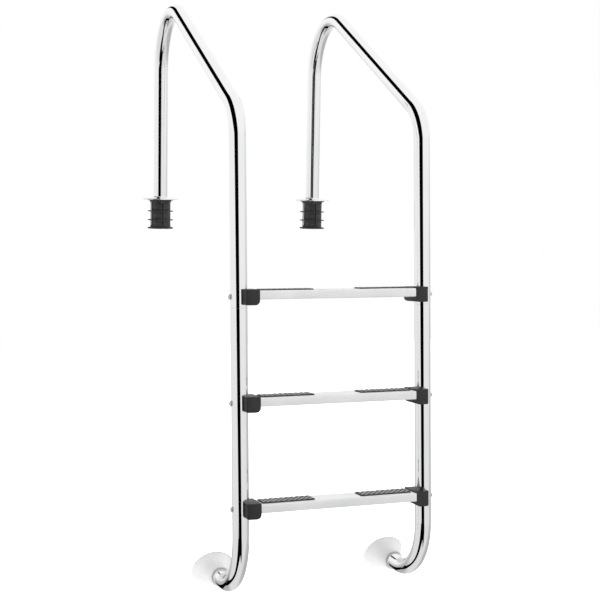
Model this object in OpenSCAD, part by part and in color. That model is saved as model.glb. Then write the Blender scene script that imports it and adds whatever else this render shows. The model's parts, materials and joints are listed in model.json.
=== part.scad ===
// In-ground pool ladder: two bent tube rails, three folded treads on end brackets,
// expanding deck anchors under sliding escutcheons, and rubber wall bumpers.
// Millimetres. Origin: midway between the legs at deck level. +X right, +Y towards the deck, +Z up.

/* [Rails] */
// Outside diameter of the rail tube
tube_d = 43; // [38:0.1:48.3]
// Wall thickness of the rail tube
tube_wall = 1.2; // [1:0.1:2]
// Distance between the two rail planes
rail_spacing = 500; // [420:1:650]
// Lean of the deck leg from vertical, in degrees
leg_splay = 4; // [0:0.5:6]
// Straight length of the leg above the deck
leg_length = 395; // [300:1:520]
// Bend radius at the top of the handrail
top_bend_r = 158; // [120:1:220]
// Straight length of the sloping handrail
slope_length = 600; // [400:1:700]
// Angle of the sloping handrail from vertical, in degrees
slope_angle = 59.5; // [45:0.5:70]
// Bend radius between the sloping handrail and the upright
upright_bend_r = 105; // [80:1:160]
// Bend radius of the foot
foot_bend_r = 150; // [100:1:200]
// Angle that the foot turns through, in degrees
foot_angle = 94; // [90:1:110]
// Height of the rail joint below the top step bolt
joint_drop = 27; // [24:1:60]
// Length of the sleeve inside the rail joint
sleeve_length = 110; // [80:1:160]

/* [Steps] */
// Depth of the top step bolt below the deck
top_bolt_drop = 277.5; // [200:0.5:350]
// Distance between steps
step_pitch = 265; // [220:1:320]
// Depth of a tread from front to back
tread_depth = 75; // [60:1:110]
// Distance of the tread's front face ahead of the rail axis
tread_front = 48; // [38:1:60]
// Thickness of the tread's sheet
tread_sheet = 1.5; // [1:0.1:2.5]
// Height of the tread's front and rear lips
tread_lip = 22; // [16:1:30]
// Height of the tread's top above the step bolt
tread_rise = 16; // [12:0.5:20]
// Length of one grip pad
pad_length = 139; // [100:1:150]
// Width of one grip pad
pad_width = 48; // [30:1:56]
// Gap between the two pads of a step
pad_gap = 126; // [40:1:160]

/* [Deck anchors] */
// Diameter of the escutcheon
escutcheon_d = 110; // [90:1:140]
// Height of the escutcheon
escutcheon_h = 9; // [6:0.5:16]
// Diameter of the anchor's body
anchor_d = 61; // [58:0.5:68]
// Diameter over the anchor's ribs
rib_d = 78; // [70:0.5:90]
// Length of the anchor below the deck
anchor_length = 90; // [80:1:110]
// Lift of the anchor's wedge
wedge_lift = 6; // [3:0.5:6]

/* [Wall bumpers] */
// Diameter of the bumper's rim
bumper_d = 116; // [90:1:130]
// Length of the bumper from mouth to rim, along the tube's axis
bumper_length = 80; // [74:1:100]
// Upward tilt of the bumper's rim from square to the tube, in degrees
bumper_tilt = 26; // [0:1:30]

/* [Hidden] */
$fn = 60;
eps = 0.01;
tube_r = tube_d / 2;
bore_r = tube_r - tube_wall;
half_spacing = rail_spacing / 2;

// Rail centreline in the YZ plane, worked out from the deck point up and over to the upright
leg_top = [-leg_length * sin(leg_splay), leg_length * cos(leg_splay)];
top_centre = leg_top - top_bend_r * [cos(leg_splay), sin(leg_splay)];
top_turn = 180 - leg_splay - slope_angle;
slope_high = top_centre + top_bend_r * [-cos(slope_angle), sin(slope_angle)];
slope_low = slope_high - slope_length * [sin(slope_angle), cos(slope_angle)];
front_y = slope_low[0] - upright_bend_r * (1 - cos(slope_angle));
upright_top_z = slope_low[1] - upright_bend_r * sin(slope_angle);
joint_z = -top_bolt_drop - joint_drop;
bottom_bolt_z = -top_bolt_drop - 2 * step_pitch;
foot_start_z = bottom_bolt_z - 69;
foot_axis_tilt = foot_angle - 90;
foot_end = [front_y + foot_bend_r * (1 - cos(foot_angle)), foot_start_z - foot_bend_r * sin(foot_angle)];
foot_straight = 32;
foot_in_bumper = 38;
foot_axis = [cos(foot_axis_tilt), sin(foot_axis_tilt)];
bumper_mouth = foot_end + foot_straight * foot_axis;
leg_below_deck = 80;
joint_gap = 0.3;
sleeve_wall = 1.5;

// Step fasteners
bolt_r = 4;
bolt_hole_r = 4.3;
bolt_tip = 56;
bolt_head_r = 6.5;
bolt_head_h = 4.5;
bolt_socket_d = 5.8;
bolt_socket_depth = 2.5;
washer_r = 7.5;
washer_t = 1.4;
nut_flats = 13;
nut_t = 6.5;
nut_at = 48;

// Tread and bracket, measured inwards from the rail axis along X
bracket_reach = 40;
bracket_outer = -3.5;
bracket_top = tread_rise + 3;
bracket_bottom = 20;
bracket_back = 29;
bracket_front = 44;
tongue_length = 30;
tongue_drop = 6;
tongue_gap = 0.6;
tread_return = 10;
tread_half = half_spacing - bracket_reach;
tread_back = tread_depth - tread_front;
pad_base_t = 2;
pad_rib_h = 1.2;
pad_rib_w = 5.5;
pad_rib_pitch = 14;
pad_rib_angle = 50;
pad_front = 32;
peg_r = 3;
peg_length = 5;
peg_r_gap = 0.2;
peg_inset = 12;
peg_outer_inset = 28;

// Deck anchor, measured along the leg from the deck
slide_gap = 0.1;
collar_t = 9;
deck_gap = 0.3;
collar_r = 38.5;
collar_flange_t = 3.3;
collar_body_r = 32.5;
screw_at = 27;
screw_r = 2.5;
screw_head_r = 4.25;
screw_head_h = 5;
screw_key = 4;
segment_top = -collar_t - 0.6;
segment_in = tube_r + 0.5;
slot_front = 4;
slot_side = 11;
rib_t = 2.6;
rib_base_t = 4;
rib_levels = [-36, -63];
wedge_low = -anchor_length + 0.5;
wedge_high = wedge_low + 15.5;
wedge_low_r = 28.6;
wedge_high_r = 23;
wedge_play = 0.9;
lug_width = 9;
lug_reach = 31;
lug_h = 10;

// Bumper
sleeve_r = 28;
flare_from = 20;
bumper_wall = 5.5;
cup_from = 0.5;
boot_sides = 48;

LEFT = -1;
RIGHT = 1;
TOP = 0;
MIDDLE = 1;
BOTTOM = 2;

function step_z(level) = -top_bolt_drop - level * step_pitch;

// Points of a quarter round corner, from angle a to a + 90
function corner(c, r, a, n = 5) = [for (i = [0:n]) c + r * [cos(a + 90 * i / n), sin(a + 90 * i / n)]];

// Puts its children on the leg's axis at deck level, with Z up the leg
module on_leg(side) {
    translate([side * half_spacing, 0, 0]) rotate([leg_splay, 0, 0]) children();
}

// Puts its children where a step's bolt crosses a rail: X points inwards, Z up
module at_step(side, level) {
    translate([side * half_spacing, front_y, step_z(level)]) mirror([side > 0 ? 1 : 0, 0, 0]) children();
}

// Puts its children at the bumper's mouth, with Z along the tube and -Y upwards
module on_foot(side) {
    translate([side * half_spacing, bumper_mouth[0], bumper_mouth[1]])
        rotate([foot_axis_tilt - 90, 0, 0]) children();
}

module ring(outer, inner, h) {
    difference() {
        cylinder(r = outer, h = h);
        translate([0, 0, -1]) cylinder(r = inner, h = h + 2);
    }
}

// A straight length of rail tube in the YZ plane, from one centreline point to another
module straight_tube(side, from, to) {
    run = to - from;
    translate([side * half_spacing, from[0], from[1]])
        rotate([-atan2(run[0], run[1]), 0, 0])
            ring(tube_r, bore_r, norm(run));
}

// A bend of rail tube in the YZ plane about centre c, from angle a (from +Y towards +Z) through turn
module bent_tube(side, c, r, a, turn) {
    translate([side * half_spacing, c[0], c[1]])
        rotate([90, 0, 90])
            rotate([0, 0, a])
                rotate_extrude(angle = turn)
                    translate([r, 0]) difference() {
                        circle(r = tube_r);
                        circle(r = bore_r);
                    }
}

module step_hole(side, level) {
    at_step(side, level) rotate([0, 90, 0]) translate([0, 0, -tube_d]) cylinder(r = bolt_hole_r, h = 2 * tube_d);
}

module upper_rail(side) {
    leg_bottom = leg_below_deck * [sin(leg_splay), -cos(leg_splay)];
    color("gainsboro") difference() {
        union() {
            straight_tube(side, leg_bottom, leg_top);
            bent_tube(side, top_centre, top_bend_r, leg_splay, top_turn);
            straight_tube(side, slope_low, slope_high);
            bent_tube(side, [front_y + upright_bend_r, upright_top_z], upright_bend_r, 180 - slope_angle, slope_angle);
            straight_tube(side, [front_y, joint_z], [front_y, upright_top_z]);
        }
        step_hole(side, TOP);
    }
}

module lower_rail(side) {
    tail = (foot_straight + foot_in_bumper) * foot_axis;
    color("gainsboro") difference() {
        union() {
            straight_tube(side, [front_y, foot_start_z], [front_y, joint_z - joint_gap]);
            bent_tube(side, [front_y + foot_bend_r, foot_start_z], foot_bend_r, 180, foot_angle);
            straight_tube(side, foot_end, foot_end + tail);
        }
        step_hole(side, MIDDLE);
        step_hole(side, BOTTOM);
    }
}

module joint_sleeve(side) {
    color("silver") difference() {
        translate([side * half_spacing, front_y, joint_z - sleeve_length / 2])
            ring(bore_r - slide_gap, bore_r - slide_gap - sleeve_wall, sleeve_length);
        step_hole(side, TOP);
    }
}

// Folded channel, open below, with its lips turned in at the bottom
module tread(level) {
    fold_r = 3;
    t = tread_sheet;
    h = tread_lip;
    top = tread_rise;
    front = -tread_front;
    back = tread_back;
    outside = concat(
        [[front, top - h], [back, top - h]],
        corner([back - fold_r, top - fold_r], fold_r, 0),
        corner([front + fold_r, top - fold_r], fold_r, 90)
    );
    inside = concat(
        [[front + t, top - h + t], [back - t, top - h + t]],
        corner([back - fold_r, top - fold_r], fold_r - t, 0),
        corner([front + fold_r, top - fold_r], fold_r - t, 90)
    );
    color("silver") translate([0, front_y, step_z(level)]) difference() {
        rotate([90, 0, 90]) translate([0, 0, -tread_half]) linear_extrude(2 * tread_half) difference() {
            polygon(outside);
            polygon(inside);
            translate([front + tread_return, top - h - 1]) square([tread_depth - 2 * tread_return, t + 2]);
        }
        for (side = [LEFT, RIGHT]) pad_pegs(side, peg_r + peg_r_gap, tread_sheet + 2);
    }
}

// The snap pegs under a pad, hanging down from the tread's top
module pad_pegs(side, r, length) {
    for (x = [peg_inset, pad_length - peg_outer_inset], y = [peg_inset, pad_width - peg_inset])
        translate([side * (pad_gap / 2 + x), y - pad_front, tread_rise - length]) cylinder(r = r, h = length + eps);
}

module pad(side, level) {
    ribs = ceil((pad_length + pad_width) / pad_rib_pitch);
    start = side > 0 ? pad_gap / 2 : -pad_gap / 2 - pad_length;
    inset = 2;
    color("dimgray") translate([0, front_y, step_z(level)]) {
        translate([start, -pad_front, tread_rise]) {
            cube([pad_length, pad_width, pad_base_t]);
            intersection() {
                translate([inset, inset, pad_base_t - 0.5])
                    cube([pad_length - 2 * inset, pad_width - 2 * inset, pad_rib_h + 0.5]);
                for (i = [0:ribs])
                    translate([i * pad_rib_pitch - pad_width * 0.8, 0, pad_base_t - 0.5])
                        rotate([0, 0, pad_rib_angle])
                            translate([-10, 0, 0]) cube([2 * pad_width, pad_rib_w, pad_rib_h + 0.5]);
            }
        }
        pad_pegs(side, peg_r, peg_length);
    }
}

// Moulded end bracket: a saddle on the rail, a block flush with the tread, and a tongue inside the tread
module bracket(side, level) {
    inner_r = 12;
    outer_r = 5;
    h = bracket_top + bracket_bottom;
    plan = [
        [-bracket_outer, -bracket_front], [bracket_reach * 0.5, -tread_front + 1], [bracket_reach, -tread_front],
        [bracket_reach, bracket_back], [-bracket_outer, bracket_back]
    ];
    face = concat(
        [[bracket_reach, bracket_top], [-bracket_outer, bracket_top]],
        corner([-bracket_outer + outer_r, -bracket_bottom + outer_r], outer_r, 180),
        corner([bracket_reach - inner_r, -bracket_bottom + inner_r], inner_r, 270)
    );
    color("#2b2b2b") at_step(side, level) difference() {
        union() {
            intersection() {
                translate([0, 0, -bracket_bottom]) linear_extrude(h) polygon(plan);
                translate([0, 60, 0]) rotate([90, 0, 0]) linear_extrude(120) polygon(face);
            }
            translate([bracket_reach - eps, tread_sheet + tongue_gap - tread_front, tread_sheet + tongue_gap - tongue_drop])
                cube([
                    tongue_length + eps,
                    tread_depth - 2 * (tread_sheet + tongue_gap),
                    tread_lip - 2 * (tread_sheet + tongue_gap)
                ]);
        }
        translate([0, 0, -50]) cylinder(r = tube_r + 0.1, h = 100);
        rotate([0, 90, 0]) cylinder(r = bolt_hole_r, h = 100);
        translate([nut_at - 0.4, -nut_flats / 2 - 0.2, -50]) cube([nut_t + 0.8, nut_flats + 0.4, 50 + nut_flats * 0.58 + 0.3]);
    }
}

module step_bolts() {
    seat = tube_r + washer_t + 0.05;
    dome_r = (bolt_head_r * bolt_head_r + bolt_head_h * bolt_head_h) / (2 * bolt_head_h);
    color("silver") for (side = [LEFT, RIGHT], level = [TOP, MIDDLE, BOTTOM])
        at_step(side, level) rotate([0, 90, 0]) {
            translate([0, 0, -seat]) cylinder(r = bolt_r, h = seat + bolt_tip);
            difference() {
                intersection() {
                    translate([0, 0, -seat - bolt_head_h]) cylinder(r = bolt_head_r, h = bolt_head_h);
                    translate([0, 0, -seat - bolt_head_h + dome_r]) sphere(r = dome_r);
                }
                translate([0, 0, -seat - bolt_head_h - 1]) cylinder(d = bolt_socket_d, h = bolt_socket_depth + 1, $fn = 6);
            }
        }
}

module saddle_washers() {
    color("silver") for (side = [LEFT, RIGHT], level = [TOP, MIDDLE, BOTTOM])
        at_step(side, level) difference() {
            intersection() {
                translate([-tube_r - 4, 0, 0]) rotate([0, 90, 0]) cylinder(r = washer_r, h = tube_r);
                translate([0, 0, -20]) cylinder(r = tube_r + washer_t, h = 40);
            }
            translate([0, 0, -21]) cylinder(r = tube_r + 0.02, h = 42);
            translate([-50, 0, 0]) rotate([0, 90, 0]) cylinder(r = bolt_r + 0.1, h = 50);
        }
}

module step_nuts() {
    color("silver") for (side = [LEFT, RIGHT], level = [TOP, MIDDLE, BOTTOM])
        at_step(side, level) translate([nut_at, 0, 0]) rotate([0, 90, 0]) difference() {
            cylinder(d = nut_flats / cos(30), h = nut_t, $fn = 6);
            translate([0, 0, -1]) cylinder(r = bolt_r + 0.05, h = nut_t + 2);
        }
}

// Pressed cover plate that slides on the leg
module escutcheon(side) {
    r = escutcheon_d / 2;
    t = 1.5;
    neck_r = tube_r + slide_gap;
    rise = escutcheon_h - 3;
    steps = 8;
    dome = [for (i = [0:steps]) let (k = i / steps) [r - 1 - (r - 3.5 - neck_r) * k, 3 + rise * sin(90 * k) * 0.75]];
    hollow = [for (i = [steps:-1:0]) dome[i] - [0.4, t]];
    color("gainsboro") on_leg(side) rotate_extrude() polygon(concat(
        [[r, 0], [r, 2]], dome,
        [[neck_r + 2, escutcheon_h], [neck_r, escutcheon_h], [neck_r, escutcheon_h - 4], [neck_r + 1.8, escutcheon_h - 4]],
        hollow, [[r - 1.5, 0]]
    ));
}

module screw_hole(r, low, high) {
    for (a = [0, 180]) rotate([0, 0, a]) translate([screw_at, 0, low]) cylinder(r = r, h = high - low);
}

module anchor_collar(side) {
    color("#333333") on_leg(side) difference() {
        union() {
            translate([0, 0, -collar_t]) ring(collar_body_r, tube_r + slide_gap, collar_t - deck_gap);
            translate([0, 0, -collar_flange_t]) ring(collar_r, tube_r + slide_gap, collar_flange_t - deck_gap);
        }
        screw_hole(screw_r + 0.05, -collar_t - 1, 1);
        screw_hole(screw_head_r + 0.3, -screw_head_h - 0.7, 1);
    }
}

module anchor_screw(side, which) {
    color("silver") on_leg(side) rotate([0, 0, which * 180]) translate([screw_at, 0, -screw_head_h - 0.6]) {
        difference() {
            cylinder(r = screw_head_r, h = screw_head_h);
            translate([0, 0, screw_head_h - 2.5]) cylinder(d = screw_key / cos(30), h = 3, $fn = 6);
        }
        translate([0, 0, wedge_low + screw_head_h + 0.6]) cylinder(r = screw_r, h = -wedge_low - screw_head_h - 0.6);
    }
}

// Tapered ring that the screws draw up between the leg and the segments
module anchor_wedge(side) {
    color("#3a3a3a") on_leg(side) difference() {
        union() {
            translate([0, 0, wedge_low]) cylinder(r1 = wedge_low_r, r2 = wedge_high_r, h = wedge_high - wedge_low);
            translate([-lug_reach, -lug_width / 2, wedge_low]) cube([2 * lug_reach, lug_width, lug_h]);
        }
        translate([0, 0, wedge_low - 1]) cylinder(r = tube_r + slide_gap, h = 40);
        screw_hole(screw_r + 0.05, wedge_low - 1, 0);
    }
}

// One of the four ribbed quarters that grip the hole
module anchor_segment(side, quarter) {
    bottom = -anchor_length;
    reach = rib_d;
    height = segment_top - bottom;
    cone_top = wedge_high + wedge_lift;
    slope = (wedge_low_r - wedge_high_r) / (wedge_high - wedge_low);
    cone_top_r = wedge_high_r + wedge_play - slope * wedge_lift;
    first = quarter % 2 == 1;
    color("#333333") on_leg(side) rotate([0, 0, 90 * (quarter - 1)]) intersection() {
        translate([first ? slot_front / 2 : slot_side / 2, first ? slot_side / 2 : slot_front / 2, bottom])
            cube([reach, reach, height]);
        difference() {
            union() {
                translate([0, 0, bottom]) cylinder(d = anchor_d, h = height);
                translate([0, 0, bottom]) cylinder(d = rib_d, h = rib_base_t);
                for (z = rib_levels) translate([0, 0, z - rib_t / 2]) cylinder(d = rib_d, h = rib_t);
            }
            translate([0, 0, bottom - 1]) cylinder(r = segment_in, h = height + 2);
            translate([0, 0, bottom - 1])
                cylinder(r1 = cone_top_r + slope * (cone_top - bottom + 1), r2 = cone_top_r, h = cone_top - bottom + 1);
        }
    }
}

// Plastic plug in the leg's open end
module leg_plug(side) {
    color("#333333") on_leg(side) {
        translate([0, 0, -leg_below_deck - 2]) cylinder(r = tube_r - 0.3, h = 1.95);
        translate([0, 0, -leg_below_deck - 1]) cylinder(r = bore_r - 0.05, h = 16);
    }
}

// One ring of the bumper: k is 0 where the sleeve starts to flare and 1 at the tilted rim
function boot_ring(k, inset) =
    let (t = flare_from + (bumper_length - flare_from) * k, open = max(k, 0), tilt = bumper_tilt * open)
    let (r = sleeve_r + (bumper_d / 2 - sleeve_r) * pow(open, 1.3) - inset)
    [for (i = [0:boot_sides - 1]) let (a = 360 * i / boot_sides)
        [r * cos(a), -r * sin(a) * cos(tilt), t - r * sin(a) * sin(tilt)]];

// Solid skinned over the rings at ks, with the last ring carried beyond the rim
module boot_skin(ks, inset, beyond = 0) {
    n = boot_sides;
    steps = len(ks) - 1;
    lift = beyond * [0, -sin(bumper_tilt), cos(bumper_tilt)];
    points = [for (j = [0:steps], p = boot_ring(ks[j], inset)) j < steps ? p : p + lift];
    polyhedron(points = points, faces = concat(
        [[for (i = [n - 1:-1:0]) i]],
        [[for (i = [0:n - 1]) steps * n + i]],
        [for (j = [0:steps - 1], i = [0:n - 1]) [j * n + i, j * n + (i + 1) % n, (j + 1) * n + (i + 1) % n]],
        [for (j = [0:steps - 1], i = [0:n - 1]) [j * n + i, (j + 1) * n + (i + 1) % n, (j + 1) * n + i]]
    ));
}

// Trumpet-shaped rubber foot pushed onto the tube's end
module bumper(side) {
    mouth = -flare_from / (bumper_length - flare_from);
    flare_steps = 8;
    cup_steps = 5;
    color("whitesmoke") on_foot(side) difference() {
        boot_skin(concat([mouth], [for (i = [0:flare_steps]) i / flare_steps]), 0);
        translate([0, 0, -1]) cylinder(r = tube_r + 0.05, h = foot_in_bumper + 1);
        boot_skin([for (i = [0:cup_steps]) cup_from + (1 - cup_from) * i / cup_steps], bumper_wall, 1);
    }
}

upper_rail(LEFT);  // upper_rail_left
upper_rail(RIGHT);  // upper_rail_right
lower_rail(LEFT);  // lower_rail_left
lower_rail(RIGHT);  // lower_rail_right
joint_sleeve(LEFT);  // joint_sleeve_left
joint_sleeve(RIGHT);  // joint_sleeve_right
tread(TOP);  // tread_top
tread(MIDDLE);  // tread_middle
tread(BOTTOM);  // tread_bottom
pad(LEFT, TOP);  // pad_top_left
pad(RIGHT, TOP);  // pad_top_right
pad(LEFT, MIDDLE);  // pad_middle_left
pad(RIGHT, MIDDLE);  // pad_middle_right
pad(LEFT, BOTTOM);  // pad_bottom_left
pad(RIGHT, BOTTOM);  // pad_bottom_right
bracket(LEFT, TOP);  // bracket_top_left
bracket(RIGHT, TOP);  // bracket_top_right
bracket(LEFT, MIDDLE);  // bracket_middle_left
bracket(RIGHT, MIDDLE);  // bracket_middle_right
bracket(LEFT, BOTTOM);  // bracket_bottom_left
bracket(RIGHT, BOTTOM);  // bracket_bottom_right
step_bolts();
saddle_washers();
step_nuts();
escutcheon(LEFT);  // escutcheon_left
escutcheon(RIGHT);  // escutcheon_right
anchor_collar(LEFT);  // anchor_collar_left
anchor_collar(RIGHT);  // anchor_collar_right
leg_plug(LEFT);  // leg_plug_left
leg_plug(RIGHT);  // leg_plug_right
anchor_wedge(LEFT);  // anchor_wedge_left
anchor_wedge(RIGHT);  // anchor_wedge_right
anchor_screw(LEFT, 0);  // anchor_screw_left_1
anchor_screw(LEFT, 1);  // anchor_screw_left_2
anchor_screw(RIGHT, 0);  // anchor_screw_right_1
anchor_screw(RIGHT, 1);  // anchor_screw_right_2
anchor_segment(LEFT, 1);  // anchor_segment_left_1
anchor_segment(LEFT, 2);  // anchor_segment_left_2
anchor_segment(LEFT, 3);  // anchor_segment_left_3
anchor_segment(LEFT, 4);  // anchor_segment_left_4
anchor_segment(RIGHT, 1);  // anchor_segment_right_1
anchor_segment(RIGHT, 2);  // anchor_segment_right_2
anchor_segment(RIGHT, 3);  // anchor_segment_right_3
anchor_segment(RIGHT, 4);  // anchor_segment_right_4
bumper(LEFT);  // bumper_left
bumper(RIGHT);  // bumper_right
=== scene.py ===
import json
import math

import bmesh
import bpy
from mathutils import Matrix, Vector


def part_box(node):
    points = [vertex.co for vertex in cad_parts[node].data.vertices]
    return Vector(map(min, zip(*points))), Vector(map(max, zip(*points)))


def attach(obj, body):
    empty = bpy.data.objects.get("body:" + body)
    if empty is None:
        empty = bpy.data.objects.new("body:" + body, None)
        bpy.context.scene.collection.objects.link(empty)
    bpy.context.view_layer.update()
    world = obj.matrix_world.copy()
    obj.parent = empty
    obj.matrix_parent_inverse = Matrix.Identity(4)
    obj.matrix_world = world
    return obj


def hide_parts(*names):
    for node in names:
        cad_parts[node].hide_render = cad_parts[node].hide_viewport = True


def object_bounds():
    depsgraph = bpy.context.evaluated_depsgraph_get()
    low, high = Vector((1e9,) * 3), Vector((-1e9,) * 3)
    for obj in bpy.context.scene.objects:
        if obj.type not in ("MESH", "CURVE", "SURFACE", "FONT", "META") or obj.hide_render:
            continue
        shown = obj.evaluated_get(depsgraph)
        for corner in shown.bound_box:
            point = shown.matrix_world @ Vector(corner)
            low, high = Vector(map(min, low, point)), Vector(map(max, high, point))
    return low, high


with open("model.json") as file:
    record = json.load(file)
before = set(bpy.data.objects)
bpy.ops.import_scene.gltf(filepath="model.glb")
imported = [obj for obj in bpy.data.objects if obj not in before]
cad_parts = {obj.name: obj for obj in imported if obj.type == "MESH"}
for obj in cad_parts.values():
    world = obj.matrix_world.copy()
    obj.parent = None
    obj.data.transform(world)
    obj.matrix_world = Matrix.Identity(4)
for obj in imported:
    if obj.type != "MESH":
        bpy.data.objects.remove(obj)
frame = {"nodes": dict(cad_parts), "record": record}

cad_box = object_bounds()

MM = 0.001
ON_AXIS = 1e-7  # a smaller radius than this is a point on the axis
SIDES = {"left": -1, "right": 1}
LEVELS = ("top", "middle", "bottom")

# ---------------------------------------------------------------- driving dimensions, in metres and degrees
TUBE_R = 21.5 * MM
TUBE_WALL = 1.2 * MM
HALF_SPACING = sum(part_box("upper_rail_right")[i].x for i in (0, 1)) / 2
FRONT_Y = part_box("lower_rail_left")[0].y + TUBE_R
LEG_SPLAY = 4.0
LEG_LENGTH = 395 * MM
LEG_BELOW_DECK = 80 * MM
TOP_BEND_R = 158 * MM
SLOPE_LENGTH = 600 * MM
SLOPE_ANGLE = 59.5
UPRIGHT_BEND_R = 105 * MM
TOP_BOLT_Z = -277.5 * MM
STEP_PITCH = 265 * MM
JOINT_Z = TOP_BOLT_Z - 27 * MM
JOINT_GAP = 0.3 * MM
FOOT_START_Z = TOP_BOLT_Z - 2 * STEP_PITCH - 69 * MM
FOOT_BEND_R = 150 * MM
FOOT_ANGLE = 94.0
FOOT_STRAIGHT = 32 * MM
FOOT_IN_BUMPER = 38 * MM
RUNNING_GAP = 0.1 * MM


def polar(r, degrees):
    return Vector((r * math.cos(math.radians(degrees)), r * math.sin(math.radians(degrees))))


def step_z(level):
    return TOP_BOLT_Z - LEVELS.index(level) * STEP_PITCH


# ---------------------------------------------------------------- frames of reference
def leg_frame(side):
    """The deck leg's axis, with its origin at deck level and Z up the leg."""
    return Matrix.Translation((side * HALF_SPACING, 0, 0)) @ Matrix.Rotation(math.radians(LEG_SPLAY), 4, "X")


def step_frame(side, z):
    """Where a step's bolt crosses a rail: X points inwards, Z up."""
    mirror = Matrix.Diagonal((-1 if side > 0 else 1, 1, 1, 1))
    return Matrix.Translation((side * HALF_SPACING, FRONT_Y, z)) @ mirror


def foot_frame(side):
    """The bumper's mouth, with Z along the tube and -Y upwards."""
    centre = Vector((FRONT_Y + FOOT_BEND_R, FOOT_START_Z))
    end = centre + polar(FOOT_BEND_R, 180 + FOOT_ANGLE) + polar(FOOT_STRAIGHT, FOOT_ANGLE - 90)
    place = Matrix.Translation((side * HALF_SPACING, end.x, end.y))
    return place @ Matrix.Rotation(math.radians(FOOT_ANGLE - 180), 4, "X")


# ---------------------------------------------------------------- mesh building
def finish_piece(name, bm, material, body, nodes, place=None, sharp=35):
    """Turns bm into a smooth-shaded object, at place, that rides on body and stands for the CAD nodes."""
    if place is not None:
        bmesh.ops.transform(bm, matrix=place, verts=bm.verts)
    bmesh.ops.recalc_face_normals(bm, faces=bm.faces)
    for face in bm.faces:
        face.smooth = True
    for edge in bm.edges:
        edge.smooth = len(edge.link_faces) == 2 and edge.calc_face_angle(0) < math.radians(sharp)
    mesh = bpy.data.meshes.new(name)
    bm.to_mesh(mesh)
    bm.free()
    obj = bpy.data.objects.new(name, mesh)
    bpy.context.scene.collection.objects.link(obj)
    mesh.materials.append(material)
    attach(obj, body)
    if nodes:
        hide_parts(*nodes)
    return obj


def bevel(bm, width, segments=2, angle=30):
    """Rounds every edge sharper than angle."""
    edges = [e for e in bm.edges if len(e.link_faces) == 2 and e.calc_face_angle(0) > math.radians(angle)]
    shape = {"segments": segments, "profile": 0.5, "affect": "EDGES", "clamp_overlap": True}
    bmesh.ops.bevel(bm, geom=edges, offset=width, **shape)


def skin(bm, rings):
    """Faces between each ring of vertices and the next, and from the last ring back to the first."""
    for k, ring in enumerate(rings):
        other = rings[(k + 1) % len(rings)]
        for i in range(len(ring)):
            j = (i + 1) % len(ring)
            corners = list(dict.fromkeys((ring[i], ring[j], other[j], other[i])))
            if len(corners) > 2:
                bm.faces.new(corners)
    return bm


def lathe(profile, turns=96, bm=None, place=None):
    """Revolves a closed (r, z) outline round Z. Points on the axis become one vertex."""
    bm = bm or bmesh.new()
    place = place or Matrix.Identity(4)
    rings = []
    for r, z in profile:
        if r < ON_AXIS:
            rings.append([bm.verts.new(place @ Vector((0, 0, z)))] * turns)
            continue
        angles = (2 * math.pi * i / turns for i in range(turns))
        rings.append([bm.verts.new(place @ Vector((r * math.cos(a), r * math.sin(a), z))) for a in angles])
    return skin(bm, rings)


def prism(outline, low, high, axis="Z", bm=None, place=None):
    """Extrudes a closed outline between low and high along Z, or along X with the outline in the YZ plane."""
    bm = bm or bmesh.new()
    place = place or Matrix.Identity(4)

    def point(p, t):
        return place @ (Vector((p[0], p[1], t)) if axis == "Z" else Vector((t, p[0], p[1])))

    bottom = [bm.verts.new(point(p, low)) for p in outline]
    top = [bm.verts.new(point(p, high)) for p in outline]
    bm.faces.new(bottom[::-1])
    bm.faces.new(top)
    for i in range(len(outline)):
        j = (i + 1) % len(outline)
        bm.faces.new((bottom[i], bottom[j], top[j], top[i]))
    return bm


def rounded(outline, radius, steps=6):
    """The closed outline with each corner replaced by an arc of radius, or of radius[i] at corner i."""
    points = []
    count = len(outline)
    for i, corner in enumerate(outline):
        r = radius[i] if isinstance(radius, (list, tuple)) else radius
        here = Vector(corner)
        before = (Vector(outline[i - 1]) - here).normalized()
        after = (Vector(outline[(i + 1) % count]) - here).normalized()
        half = before.angle(after) / 2
        if r <= 0 or half > math.radians(89):
            points.append(here)
            continue
        bisector = (before + after).normalized()
        centre = here + bisector * (r / math.sin(half))
        start = here + before * (r / math.tan(half)) - centre
        turn = start.angle_signed(here + after * (r / math.tan(half)) - centre)
        points += [centre + Matrix.Rotation(-turn * k / steps, 2) @ start for k in range(steps + 1)]
    return points


def join(bm, other):
    """Adds other's faces to bm."""
    mesh = bpy.data.meshes.new("joined")
    other.to_mesh(mesh)
    other.free()
    bm.from_mesh(mesh)
    bpy.data.meshes.remove(mesh)
    return bm


def combine(bm, tool, operation):
    """Boolean of two closed bmeshes."""
    objects = []
    for source in (bm, tool):
        bmesh.ops.recalc_face_normals(source, faces=source.faces)
        mesh = bpy.data.meshes.new("boolean")
        source.to_mesh(mesh)
        source.free()
        objects.append(bpy.data.objects.new("boolean", mesh))
        bpy.context.scene.collection.objects.link(objects[-1])
    modifier = objects[0].modifiers.new("boolean", "BOOLEAN")
    modifier.operation = operation
    modifier.object = objects[1]
    modifier.solver = "EXACT"
    depsgraph = bpy.context.evaluated_depsgraph_get()
    result = bmesh.new()
    result.from_mesh(objects[0].evaluated_get(depsgraph).to_mesh())
    for obj in objects:
        bpy.data.objects.remove(obj)
    bmesh.ops.dissolve_limit(result, angle_limit=math.radians(0.5), verts=result.verts, edges=result.edges)
    return result


def cylinder(r, low, high, sides=64, place=None, bm=None):
    return lathe([(0, low), (r, low), (r, high), (0, high)], sides, bm, place)


# ---------------------------------------------------------------- materials
def new_material(name):
    material = bpy.data.materials.new(name)
    material.use_nodes = True
    return material, material.node_tree, material.node_tree.nodes["Principled BSDF"]


def add(tree, kind, **inputs):
    node = tree.nodes.new(kind)
    for key, value in inputs.items():
        if key in node.inputs:
            node.inputs[key].default_value = value
        else:
            setattr(node, key, value)
    return node


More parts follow.
